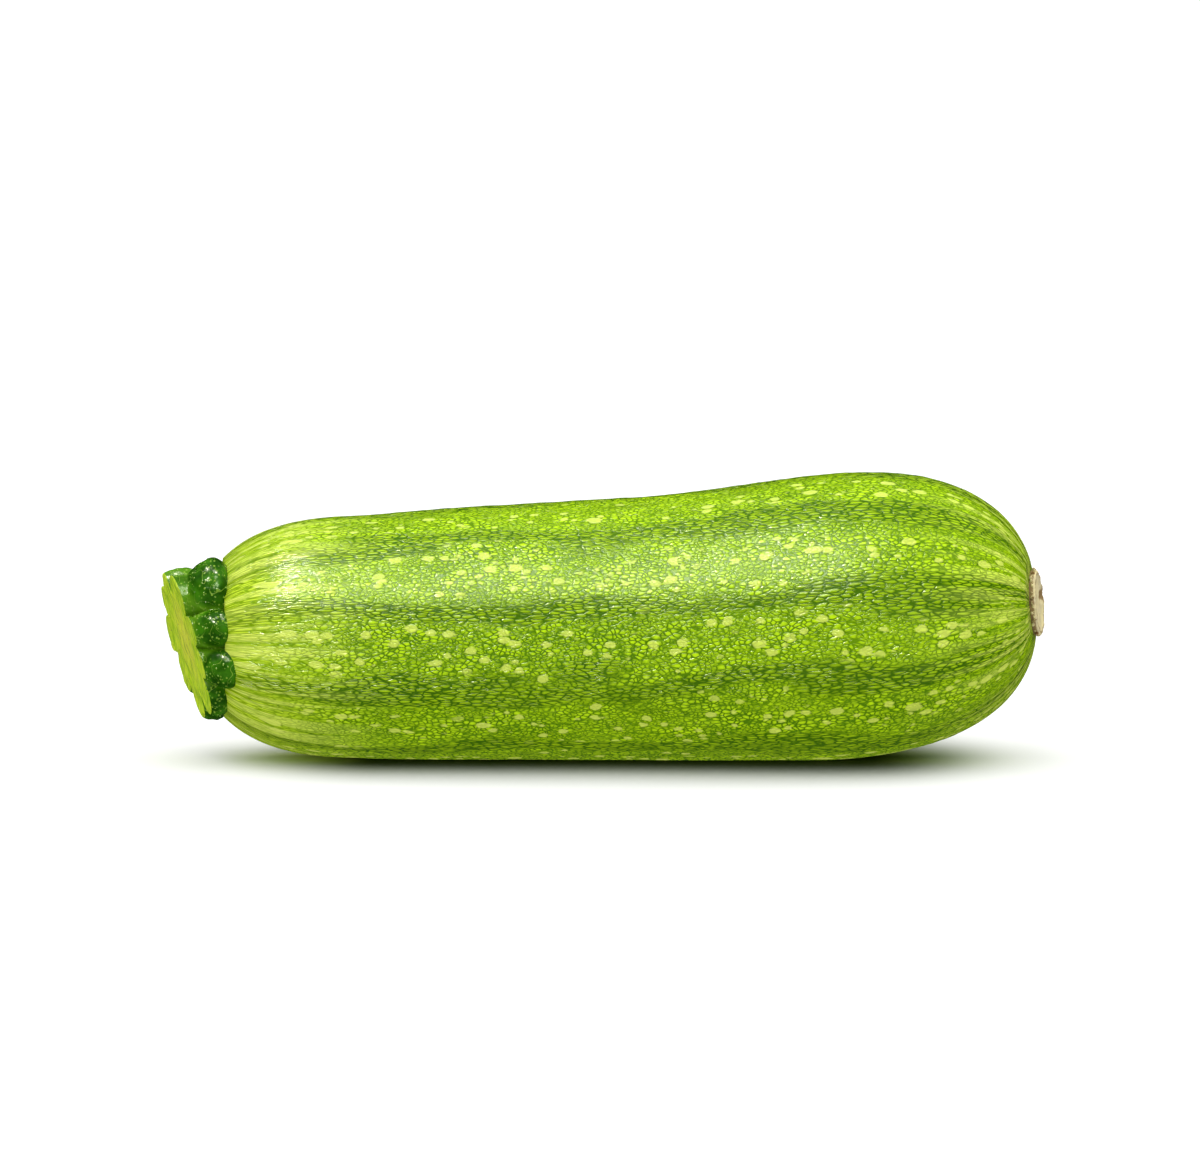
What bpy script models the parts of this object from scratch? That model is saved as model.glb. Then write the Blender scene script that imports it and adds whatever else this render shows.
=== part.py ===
"""A courgette lying on its side: the fruit, its cut stem and the dry scar of its flower.

+X runs along the fruit towards the flower end, +Z is up, and the origin is at the middle of
the underside.  Each piece is first laid out along a straight axis, as a station along it and
a place across it, and is then carried onto the slightly bowed axis that the fruit grew on.
"""

import math

import bmesh
import bpy
from mathutils import Vector

# Driving dimensions, in metres
STEM_SEAT = -0.0777          # station where the fruit meets the stem
SHOULDER_START = -0.0526     # the fruit narrows to the stem before this station
SHOULDER_LENGTH = 0.0305
FLOWER_END_START = 0.0393    # the fruit rounds off after this station
FLOWER_END_LENGTH = 0.0488
END_POWER = 2.55             # bluntness of both ends; 2 would be an ellipse
GREATEST_RADIUS = 0.03006
SHAFT_TAPER = 0.0573         # loss of radius, per metre towards the stem
WAIST_DEPTH = 0.00134        # how much the shaft draws in, where it does so most
WAIST_STATION = 0.0169       # middle of the waist
WAIST_SPAN = 0.035           # and how far it reaches to either side
RIB_COUNT = 10
RIB_DEPTH = 0.009            # of the radius, from rib to furrow

# The axis that the fruit grew on
SIDE_BOW = 0.0042            # how far the middle stands back from the two ends
SIDE_SET = 0.0012            # how far it stands back from the origin
HALF_LENGTH = 0.090
AXIS_HEIGHT = 0.0248         # of the stem end, above the underside
AXIS_CLIMB = 0.055           # per metre towards the flower end
CLIMB_START = -0.0412
BEND_EASE = 0.006            # length over which a straight run eases into the next

# Stem: a short stump of seven lobes round a core, cut off on the slant
STEM_CUT = -0.0858           # station of the cut on the axis
CUT_SLANT_SIDE = 0.19        # how much the cut leans, per metre across
CUT_SLANT_UP = 0.25          # and per metre upwards
STEM_CORE_RADIUS = 0.0125
LOBE_ANGLES = (0, 58, 114, 168, 203, 256, 318)
LOBE_REACH = (0.0168, 0.0160, 0.0171, 0.0167, 0.0172, 0.0170, 0.0164)
LOBE_WIDTH = 15.0            # degrees, from a lobe's middle to its flank
LOBE_TAPER = 0.17            # how much the stump draws in at the cut
LOBE_BULGE = 0.06            # how much it swells between its two ends

# Scar of the flower: a thin corky disc, dished in the middle
SCAR_SEAT = 0.0874           # station of the flat under the scar
SCAR_SLANT_SIDE = 0.09       # how much that flat leans, per metre across
SCAR_SLANT_UP = -0.03        # and per metre upwards
SCAR_RAISE = 0.0008          # height of its middle above the axis
SCAR_RADIUS = 0.0069
SCAR_THICKNESS = 0.0012
SCAR_DISH = 0.0006

GAP = 0.0003                 # between pieces that touch
SEAT_SHARE = 0.10            # share of the rows that cover a piece's flat end
FLAT_EASE = 0.00025          # height over which the underside eases into its flat


def smoothstep(t):
    t = min(max(t, 0.0), 1.0)
    return t * t * (3.0 - 2.0 * t)


def soft_ramp(length):
    """The length itself where it is positive and nothing where it is not, with a smooth bend."""
    return BEND_EASE * math.log1p(math.exp(length / BEND_EASE))


def soft_ramp_slope(length):
    return 1.0 / (1.0 + math.exp(-length / BEND_EASE))


def waist(station):
    """How much the shaft draws in; its axis dips as much, so the underside stays level."""
    return WAIST_DEPTH * math.exp(-(((station - WAIST_STATION) / WAIST_SPAN) ** 2))


def carry_to_axis(station, across, up):
    """Point of a straight layout, moved onto the bowed and climbing axis."""
    centre = Vector((
        station,
        SIDE_SET - SIDE_BOW * (station / HALF_LENGTH) ** 2,
        AXIS_HEIGHT + AXIS_CLIMB * soft_ramp(station - CLIMB_START) - waist(station),
    ))
    side_slope = -2.0 * SIDE_BOW * station / HALF_LENGTH ** 2
    climb_slope = AXIS_CLIMB * soft_ramp_slope(station - CLIMB_START)
    along = Vector((1.0, side_slope, climb_slope)).normalized()
    sideways = Vector((0.0, 0.0, 1.0)).cross(along).normalized()
    upwards = along.cross(sideways)
    return centre + sideways * across + upwards * up


def blunt_end(inward):
    """Share of the full radius that is left, from 1 where an end starts to 0 where it closes."""
    share = min(max(inward, 0.0), 1.0)
    return (1.0 - share ** END_POWER) ** (1.0 / END_POWER)


def fruit_radius(station):
    """Radius of the fruit: a shaft that narrows towards the stem, with two blunt ends."""
    shaft = GREATEST_RADIUS - SHAFT_TAPER * soft_ramp(FLOWER_END_START - station)
    shaft -= waist(station)
    shoulder = blunt_end((SHOULDER_START - station) / SHOULDER_LENGTH)
    flower_end = blunt_end((station - FLOWER_END_START) / FLOWER_END_LENGTH)
    return shaft * shoulder * flower_end


def rest_on_ground(point):
    """Flatten what would reach below the ground, easing into the flat."""
    if point.z < FLAT_EASE:
        eased = (point.z + FLAT_EASE) ** 2 / (4.0 * FLAT_EASE)
        point.z = eased if point.z > -FLAT_EASE else 0.0
    return point


def scar_seat_station(across, up):
    return SCAR_SEAT + SCAR_SLANT_SIDE * across + SCAR_SLANT_UP * up


def place_fruit(row, angle):
    """Fruit surface; row runs from 0 at the stem to 1 at the flower end."""
    if row < SEAT_SHARE:
        station = STEM_SEAT
        radius = fruit_radius(STEM_SEAT) * row / SEAT_SHARE
    else:
        share = (row - SEAT_SHARE) / (1.0 - SEAT_SHARE)
        tip = FLOWER_END_START + FLOWER_END_LENGTH
        station = STEM_SEAT + (tip - STEM_SEAT) * (1.0 - math.cos(math.pi * share)) / 2.0
        radius = fruit_radius(station)
    radius *= 1.0 - RIB_DEPTH * (0.5 + 0.5 * math.cos(RIB_COUNT * angle))
    across = radius * math.cos(angle)
    up = radius * math.sin(angle)
    station = min(station, scar_seat_station(across, up))
    return rest_on_ground(carry_to_axis(station, across, up))


def lobe_radius(angle):
    """Outline of the stem's foot: a round core with a bulging lobe at each lobe angle."""
    radius = STEM_CORE_RADIUS
    for middle, reach in zip(LOBE_ANGLES, LOBE_REACH):
        turn = math.degrees(angle) - middle
        turn = (turn + 180.0) % 360.0 - 180.0
        lobe = math.exp(-((turn / LOBE_WIDTH) ** 2) / 2.0)
        radius = max(radius, STEM_CORE_RADIUS + (reach - STEM_CORE_RADIUS) * lobe)
    return radius


def place_stem(row, angle):
    """Stem surface; row runs from 0 at the cut to 1 at the foot, with both ends flat."""
    side_share = (row - SEAT_SHARE) / (1.0 - 2.0 * SEAT_SHARE)
    along = min(max(side_share, 0.0), 1.0)
    to_middle = min(row, 1.0 - row, SEAT_SHARE) / SEAT_SHARE
    swell = 1.0 - LOBE_TAPER * (1.0 - along) ** 2 + LOBE_BULGE * math.sin(math.pi * along)
    radius = lobe_radius(angle) * swell * to_middle / (1.0 + LOBE_BULGE)
    across = radius * math.cos(angle)
    up = radius * math.sin(angle)
    cut = STEM_CUT - CUT_SLANT_SIDE * across - CUT_SLANT_UP * up
    foot = STEM_SEAT - GAP
    return carry_to_axis(cut + (foot - cut) * along, across, up)


def place_scar(row, angle):
    """Scar surface; row runs from 0 under the disc to 1 at the middle of its dished face."""
    top_share = max(row - 0.5, 0.0) * 2.0
    radius = SCAR_RADIUS * min(row, 1.0 - row) * 2.0
    rounded = SCAR_RADIUS * math.sqrt(1.0 - (1.0 - radius / SCAR_RADIUS) ** 2)
    across = rounded * math.cos(angle)
    up = rounded * math.sin(angle) + SCAR_RAISE
    height = GAP
    if row > 0.5:
        height += SCAR_THICKNESS - SCAR_DISH * smoothstep(top_share)
    return carry_to_axis(scar_seat_station(across, up) + height, across, up)


def shaped_sphere(name, place, segments, rings, collection, material):
    """Closed piece made from a sphere whose rows and segments are placed by a function."""
    ball = bmesh.new()
    bmesh.ops.create_uvsphere(ball, u_segments=segments, v_segments=rings, radius=1.0)
    for vertex in ball.verts:
        polar = math.acos(min(max(vertex.co.z, -1.0), 1.0))
        angle = math.atan2(vertex.co.y, vertex.co.x)
        vertex.co = place(1.0 - polar / math.pi, angle)
    bmesh.ops.triangulate(ball, faces=ball.faces)
    mesh = bpy.data.meshes.new(name)
    ball.to_mesh(mesh)
    ball.free()
    mesh.shade_smooth()
    mesh.set_sharp_from_angle(angle=math.radians(50.0))
    mesh.materials.append(material)
    collection.objects.link(bpy.data.objects.new(name, mesh))


def make_material(name, colour, roughness):
    material = bpy.data.materials.new(name)
    material.use_nodes = True
    shader = material.node_tree.nodes["Principled BSDF"]
    shader.inputs["Base Color"].default_value = (*colour, 1.0)
    shader.inputs["Roughness"].default_value = roughness
    shader.inputs["Metallic"].default_value = 0.0
    return material


def clear_scene():
    for item in list(bpy.data.objects):
        bpy.data.objects.remove(item, do_unlink=True)


def main():
    clear_scene()
    courgette = bpy.data.collections.new("courgette")
    bpy.context.scene.collection.children.link(courgette)
    skin = make_material("skin", (0.26, 0.47, 0.02), 0.35)
    stem_flesh = make_material("stem", (0.05, 0.17, 0.01), 0.40)
    cork = make_material("cork", (0.48, 0.42, 0.22), 0.90)
    shaped_sphere("fruit", place_fruit, 50, 44, courgette, skin)
    shaped_sphere("stem", place_stem, 70, 16, courgette, stem_flesh)
    shaped_sphere("blossom_scar", place_scar, 28, 10, courgette, cork)


main()
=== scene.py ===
"""The looks of a courgette: speckled glossy skin, a lobed cut stem and the corky flower scar.

The script is laid out as an add-on and is run as a script.  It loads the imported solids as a
fixed frame, builds a fine surface for each of them in the same place, and sets a plain
studio round the whole.

Every piece is first laid out straight: a station along the fruit, and a place across it.  It
is then carried onto the bowed axis that the fruit grew on, the same one that the solids have.
"""

import math

import bpy
from bpy.props import FloatProperty, FloatVectorProperty, IntProperty, PointerProperty
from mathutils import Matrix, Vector, noise


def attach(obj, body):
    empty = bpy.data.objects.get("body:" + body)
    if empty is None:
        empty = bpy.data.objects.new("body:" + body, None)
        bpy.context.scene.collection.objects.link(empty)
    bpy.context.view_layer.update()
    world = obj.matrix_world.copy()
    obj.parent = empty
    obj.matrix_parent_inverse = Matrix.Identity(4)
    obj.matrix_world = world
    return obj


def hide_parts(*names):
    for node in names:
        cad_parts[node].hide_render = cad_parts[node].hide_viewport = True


bl_info = {
    "name": "Courgette",
    "version": (1, 0, 0),
    "blender": (4, 5, 0),
    "location": "View3D > Sidebar > Courgette",
    "description": "Builds a courgette's visible surfaces round its packed solids",
    "category": "Add Mesh",
}

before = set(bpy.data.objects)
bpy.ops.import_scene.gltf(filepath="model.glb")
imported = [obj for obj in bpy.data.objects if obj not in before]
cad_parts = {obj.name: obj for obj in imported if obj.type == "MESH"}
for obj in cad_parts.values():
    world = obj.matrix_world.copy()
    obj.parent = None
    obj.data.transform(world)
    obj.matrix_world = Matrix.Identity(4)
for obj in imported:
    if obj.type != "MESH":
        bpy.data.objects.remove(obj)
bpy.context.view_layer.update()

# The straight layout, in metres
STEM_SEAT = -0.0777
SHOULDER_START = -0.0526
SHOULDER_LENGTH = 0.0305
FLOWER_END_START = 0.0393
FLOWER_END_LENGTH = 0.0488
END_POWER = 2.55
GREATEST_RADIUS = 0.03006
SHAFT_TAPER = 0.0573
WAIST_DEPTH = 0.00134
WAIST_STATION = 0.0169
WAIST_SPAN = 0.035
SCAR_SEAT = 0.0874
SCAR_SLANT_SIDE = 0.09
SCAR_SLANT_UP = -0.03
SCAR_RAISE = 0.0002
SCAR_RADIUS = 0.0069
STEM_CUT = -0.0858
CUT_SLANT_SIDE = 0.19
CUT_SLANT_UP = 0.25
STEM_DEPTH = 0.0042          # how far the stump reaches into the fruit
STEM_CORE = 0.009            # least radius of the stump, between its lobes

# The axis that the fruit grew on
SIDE_BOW = 0.0042
SIDE_SET = 0.0012
HALF_LENGTH = 0.090
AXIS_HEIGHT = 0.0248
AXIS_CLIMB = 0.055
CLIMB_START = -0.0412
BEND_EASE = 0.006
FLAT_EASE = 0.00025

# Skin pattern
GROWN_LENGTH = 0.179         # length of the skin from stem to flower, along the surface
GROWN_RADIUS = 0.027         # radius at which the pattern has its true size
STRETCH_REACH = 0.013        # how far from an end the pattern is drawn out into streaks
STRETCH_SHARE = 0.62         # and how strongly
STRIPES = 10                 # dark stripes, and as many furrows
STRIPE_TURN = math.radians(164.0)
STEM_FURROW_REACH = 0.016    # how far from an end the furrows are deeper
FLOWER_FURROW_REACH = 0.012
STEM_STREAK_REACH = 0.017    # and how far the skin is streaked there
FLOWER_STREAK_REACH = 0.022
NICK_COLOUR = (0.02, 0.03, 0.005)

# Stem lobes: middle and half width in degrees, reach, middle station, rounding towards the
# fruit, and depth of the creases beside it, in millimetres
STEM_LOBES = (
    (121, 27, 18.5, -79.9, 4.8, 7.6),
    (165, 17, 17.2, -79.0, 4.2, 6.6),
    (198, 16.5, 18.5, -77.0, 3.8, 6.6),
    (233, 21, 17.3, -79.0, 4.0, 6.8),
    (276, 20, 17.0, -79.8, 4.2, 6.8),
    (318, 20, 17.2, -81.0, 4.8, 6.8),
    (0, 20, 17.6, -84.0, 6.6, 7.4),
    (41, 20, 16.2, -84.5, 6.6, 7.4),
    (73, 14, 14.7, -86.0, 7.6, 7.4),
)
FULL_REACH = max(lobe[2] for lobe in STEM_LOBES)
LOBE_BLEND = 0.1             # millimetres over which one lobe passes into the next
MM = 0.001

# Fine relief of the stem: heights of what the noise raises
CUT_FIBRE, CUT_LUMP, CUT_GROOVE = 0.0003, 0.0004, 0.00012
SIDE_LUMP, SIDE_GRAIN = 0.00038, 0.00014
WART_RELIEF = 0.00005
FLESH_SPECK_COLOUR = (0.22, 0.12, 0.02)

# Scar: share of its outline and height, from behind the disc to the foot of its face
SCAR_EDGE = ((0.5, -0.0006), (0.9, -0.0006), (0.985, -0.0002), (1.0, 0.0003), (1.0, 0.0007))
SCAR_FACE = 0.0011           # height of the face
PIT_ACROSS, PIT_UP, PIT_RADIUS, PIT_DEPTH = 0.0046, 0.0010, 0.0011, 0.0009
PIT_RIDGE, FACE_RIM, FACE_LUMP, FACE_GRAIN = 0.00015, 0.0003, 0.00022, 0.00007
CORK_RELIEF, CRUMB_RELIEF = 0.00018, 0.0001

# Cards that show as highlights: place, what each faces, and size
BROAD_CARD = ((-0.11, -0.6, 0.83), (0.02, -0.02, 0.04), (0.26, 0.62))
LEFT_CARD = ((-0.45, -0.35, 0.88), (-0.063, -0.018, 0.038), (0.22, 0.26))
CARD_COLOUR = (1.0, 1.0, 0.74)
FLOOR_HALF_WIDTH = 6.0
FLOOR_GREY = (0.8, 0.8, 0.8)
# Painted shadow: the dark colour mixed into the floor's white close under the fruit
FLOOR_PAINTED_SHADOW = (0.015, 0.02, 0.01)
PAINTED_SHADOW_MIDDLE = 0.004         # station of the middle of the painted shadow under the fruit
PAINTED_SHADOW_FULL, PAINTED_SHADOW_END = 0.05, 0.082
PAINTED_SHADOW_REACH = 0.08           # how far above the floor something may be and still darken the painted shadow
SENSOR_WIDTH = 36.0          # of the camera, in millimetres


class Number:
    """A number socket of a node tree; arithmetic on it adds Math nodes."""

    def __init__(self, board, socket):
        self.board = board
        self.socket = socket

    def __add__(self, other):
        return self.board.math("ADD", self, other)

    __radd__ = __add__

    def __sub__(self, other):
        return self.board.math("SUBTRACT", self, other)

    def __rsub__(self, other):
        return self.board.math("SUBTRACT", other, self)

    def __mul__(self, other):
        return self.board.math("MULTIPLY", self, other)

    __rmul__ = __mul__

    def __truediv__(self, other):
        return self.board.math("DIVIDE", self, other)

    def __rtruediv__(self, other):
        return self.board.math("DIVIDE", other, self)

    def __pow__(self, exponent):
        return self.board.math("POWER", self, exponent)

    def clamped(self):
        return self.board.math("MINIMUM", self.board.math("MAXIMUM", self, 0.0), 1.0)

    def between(self, low, high):
        """0 at low and 1 at high, eased; low may be the greater of the two."""
        settings = {"interpolation_type": "SMOOTHSTEP"}
        feeds = {"Value": self, "From Min": low, "From Max": high}
        return self.board.number("ShaderNodeMapRange", settings, feeds)


class Board:
    """A node tree that is being filled in, for a shader or for geometry."""

    def __init__(self, tree):
        self.tree = tree

    def node(self, kind, settings=None, feeds=None):
        """Add a node: its settings first, then a value or a link for each socket named."""
        node = self.tree.nodes.new(kind)
        for name, value in (settings or {}).items():
            setattr(node, name, value)
        for key, value in (feeds or {}).items():
            value = getattr(value, "socket", value)
            if isinstance(value, bpy.types.NodeSocket):
                self.tree.links.new(value, node.inputs[key])
            else:
                node.inputs[key].default_value = value
        return node

    def number(self, kind, settings=None, feeds=None, output=0):
        return Number(self, self.node(kind, settings, feeds).outputs[output])

    def math(self, operation, *terms):
        return self.number("ShaderNodeMath", {"operation": operation}, dict(enumerate(terms)))

    def greatest(self, one, other):
        return self.math("MAXIMUM", one, other)

    def least(self, one, other):
        return self.math("MINIMUM", one, other)

    def vector(self, x, y, z):
        return self.node("ShaderNodeCombineXYZ", feeds={0: x, 1: y, 2: z}).outputs[0]

    def parts(self, vector):
        node = self.node("ShaderNodeSeparateXYZ", feeds={0: vector})
        return [Number(self, socket) for socket in node.outputs]

    def noise(self, vector, scale=1.0, detail=2.0, distortion=0.0, output="Fac"):
        feeds = {"Vector": vector, "Scale": scale, "Detail": detail, "Distortion": distortion}
        return self.number("ShaderNodeTexNoise", feeds=feeds, output=output)

    def voronoi(self, vector, scale=1.0, randomness=1.0, feature="F1"):
        feeds = {"Vector": vector, "Scale": scale, "Randomness": randomness}
        return self.node("ShaderNodeTexVoronoi", {"feature": feature}, feeds)

    def mix(self, factor, first, second):
        """Colour between two; each is three numbers or a colour socket."""
        feeds = {0: factor}
        for key, colour in ((6, first), (7, second)):
            feeds[key] = colour if isinstance(colour, bpy.types.NodeSocket) else (*colour, 1.0)
        return self.node("ShaderNodeMix", {"data_type": "RGBA"}, feeds).outputs[2]


# ---------------------------------------------------------------- the shared axis

def soft_ramp(board, length):
    """The length itself where it is positive, nothing where it is not, with a smooth bend."""
    grown = board.math("EXPONENT", length / BEND_EASE)
    return board.math("LOGARITHM", 1.0 + grown, math.e) * BEND_EASE


def waist(board, station):
    """How much the shaft draws in; its axis dips as much, so the underside stays level."""
    away = (station - WAIST_STATION) * (1.0 / WAIST_SPAN)
    return board.math("EXPONENT", away * away * -1.0) * WAIST_DEPTH


def carried_to_axis(board, station, across, up):
    """Position of a point of the straight layout on the bowed and climbing axis."""
    side = station * (-2.0 * SIDE_BOW / HALF_LENGTH ** 2)
    climb = AXIS_CLIMB / (1.0 + board.math("EXPONENT", (CLIMB_START - station) / BEND_EASE))
    side_length = board.math("SQRT", 1.0 + side * side)
    length = side_length * board.math("SQRT", 1.0 + side * side + climb * climb)
    centre_y = SIDE_SET - station * station * (SIDE_BOW / HALF_LENGTH ** 2)
    centre_z = AXIS_HEIGHT + AXIS_CLIMB * soft_ramp(board, station - CLIMB_START)
    centre_z = centre_z - waist(board, station)
    x = station - across * side / side_length - up * climb / length
    y = centre_y + across / side_length - up * side * climb / length
    z = centre_z + up * (1.0 + side * side) / length
    return x, y, z


def carry_to_axis(station, across, up):
    """The same as carried_to_axis, for one point that is worked out here."""
    side = -2.0 * SIDE_BOW * station / HALF_LENGTH ** 2
    climb = AXIS_CLIMB / (1.0 + math.exp((CLIMB_START - station) / BEND_EASE))
    ramp = BEND_EASE * math.log1p(math.exp((station - CLIMB_START) / BEND_EASE))
    dip = WAIST_DEPTH * math.exp(-((station - WAIST_STATION) / WAIST_SPAN) ** 2)
    centre = Vector((
        station,
        SIDE_SET - SIDE_BOW * (station / HALF_LENGTH) ** 2,
        AXIS_HEIGHT + AXIS_CLIMB * ramp - dip,
    ))
    along = Vector((1.0, side, climb)).normalized()
    sideways = Vector((0.0, 0.0, 1.0)).cross(along).normalized()
    return centre + sideways * across + along.cross(sideways) * up


# ---------------------------------------------------------------- trees and meshes

def new_tree(name, inputs):
    """A geometry tree with named number inputs; returns its board and the input sockets."""
    tree = bpy.data.node_groups.new(name, "GeometryNodeTree")
    tree.interface.new_socket("Geometry", in_out="INPUT", socket_type="NodeSocketGeometry")
    for label, kind in inputs:
        tree.interface.new_socket(label, in_out="INPUT", socket_type=kind)
    tree.interface.new_socket("Geometry", in_out="OUTPUT", socket_type="NodeSocketGeometry")
    board = Board(tree)
    group = board.node("NodeGroupInput")
    return board, {socket.name: Number(board, socket) for socket in group.outputs if socket.name}


def close_tree(board, geometry, material):
    """End a tree: instances made real, shaded smooth, with the material set."""
    real = board.node("GeometryNodeRealizeInstances", feeds={0: geometry}).outputs[0]
    smooth = board.node("GeometryNodeSetShadeSmooth", feeds={0: real}).outputs[0]
    painted = board.node("GeometryNodeSetMaterial", feeds={0: smooth, "Material": material})
    board.node("NodeGroupOutput", feeds={0: painted.outputs[0]})


def mesh_from_tree(name, tree, values, source=None):
    """Plain mesh object made by a geometry tree on a source mesh, or on nothing."""
    carrier = bpy.data.objects.new(name, source or bpy.data.meshes.new(name + "_source"))
    bpy.context.scene.collection.objects.link(carrier)
    modifier = carrier.modifiers.new("tree", "NODES")
    modifier.node_group = tree
    for item in tree.interface.items_tree:
        if item.in_out == "INPUT" and item.name in values:
            modifier[item.identifier] = values[item.name]
    shown = carrier.evaluated_get(bpy.context.evaluated_depsgraph_get())
    mesh = bpy.data.meshes.new_from_object(shown)
    mesh.name = name
    carrier.modifiers.clear()
    carrier.data = mesh
    return carrier


def angles_round(count):
    return [2.0 * math.pi * step / count for step in range(count)]


def row_start(row, segments):
    return 0 if row == 0 else 1 + (row - 1) * segments


def wrapped_mesh(name, points, rows, segments, material, numbers):
    """Closed mesh from rows of points that run round a piece, the first at its -X end.

    The first and the last row are single points.  A full UV square covers the mesh, and
    numbers holds a list of values, one for each point, for each attribute by name."""
    faces = []
    corners = []
    for row in range(rows - 1):
        for step in range(segments):
            after = (step + 1) % segments
            a = row_start(row, segments) + (0 if row == 0 else step)
            b = row_start(row, segments) + (0 if row == 0 else after)
            c = row_start(row + 1, segments) + (0 if row == rows - 2 else after)
            d = row_start(row + 1, segments) + (0 if row == rows - 2 else step)
            low, high = row / (rows - 1), (row + 1) / (rows - 1)
            left, right = step / segments, (step + 1) / segments
            quad = [(a, low, left), (b, low, right), (c, high, right), (d, high, left)]
            if row == 0:
                quad.pop(1)
            elif row == rows - 2:
                quad.pop(2)
            faces.append([corner[0] for corner in quad])
            corners.extend((corner[1], corner[2]) for corner in quad)
    mesh = bpy.data.meshes.new(name)
    mesh.from_pydata(points, [], faces)
    layer = mesh.uv_layers.new(name="OFBake")
    layer.data.foreach_set("uv", [value for corner in corners for value in corner])
    for label, values in numbers.items():
        kind = "FLOAT_VECTOR" if isinstance(values[0], Vector) else "FLOAT"
        attribute = mesh.attributes.new(label, kind, "POINT")
        if kind == "FLOAT":
            attribute.data.foreach_set("value", values)
        else:
            attribute.data.foreach_set("vector", [part for value in values for part in value])
    mesh.shade_smooth()
    mesh.materials.append(material)
    piece = bpy.data.objects.new(name, mesh)
    bpy.context.scene.collection.objects.link(piece)
    return piece


def new_material(name):
    material = bpy.data.materials.new(name)
    material.use_nodes = True
    material.node_tree.nodes.clear()
    return material, Board(material.node_tree)


def bumped(board, height, distance, strength=1.0):
    """What feeds the shader's Normal: fine relief, a height of about 1 times a distance."""
    feeds = {"Strength": strength, "Distance": distance, "Height": height}
    return {"Normal": board.node("ShaderNodeBump", feeds=feeds).outputs[0]}


def finish_material(board, colour, roughness, others):
    """End a material with the Principled shader; others feeds more of its sockets by name."""
    feeds = {"Base Color": colour, "Roughness": roughness, **others}
    shader = board.node("ShaderNodeBsdfPrincipled", feeds=feeds)
    board.node("ShaderNodeOutputMaterial", feeds={0: shader.outputs[0]})


def settle(piece, node):
    """Tie a finished piece to the frame."""
    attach(piece, "root")
    if node:
        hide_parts(node)


# ---------------------------------------------------------------- fruit

def skin_coordinates(board, row, angle):
    """Where a point of the skin grew: its way along the surface, and its place round it."""
    way = row * GROWN_LENGTH
    rest = GROWN_LENGTH - way
    reach = STRETCH_REACH * STRETCH_SHARE
    near_stem = board.math("EXPONENT", way / -STRETCH_REACH) * reach
    near_flower = board.math("EXPONENT", rest / -STRETCH_REACH) * reach
    along = way + near_stem - near_flower
    turn_y = board.math("COSINE", angle) * GROWN_RADIUS
    turn_z = board.math("SINE", angle) * GROWN_RADIUS
    return along, turn_y, turn_z


def blunt(share):
    """Share of the full radius that is left, from 1 where an end starts to 0 where it closes."""
    return (1.0 - share ** END_POWER) ** (1.0 / END_POWER)


def stripe_share(board, turn_y, turn_z, wander):
    """1 in the middle of a dark stripe and 0 midway between two."""
    angle = board.math("ARCTAN2", turn_z, turn_y)
    turned = (angle - STRIPE_TURN) * STRIPES + wander
    return board.math("COSINE", turned) * 0.5 + 0.5


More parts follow.
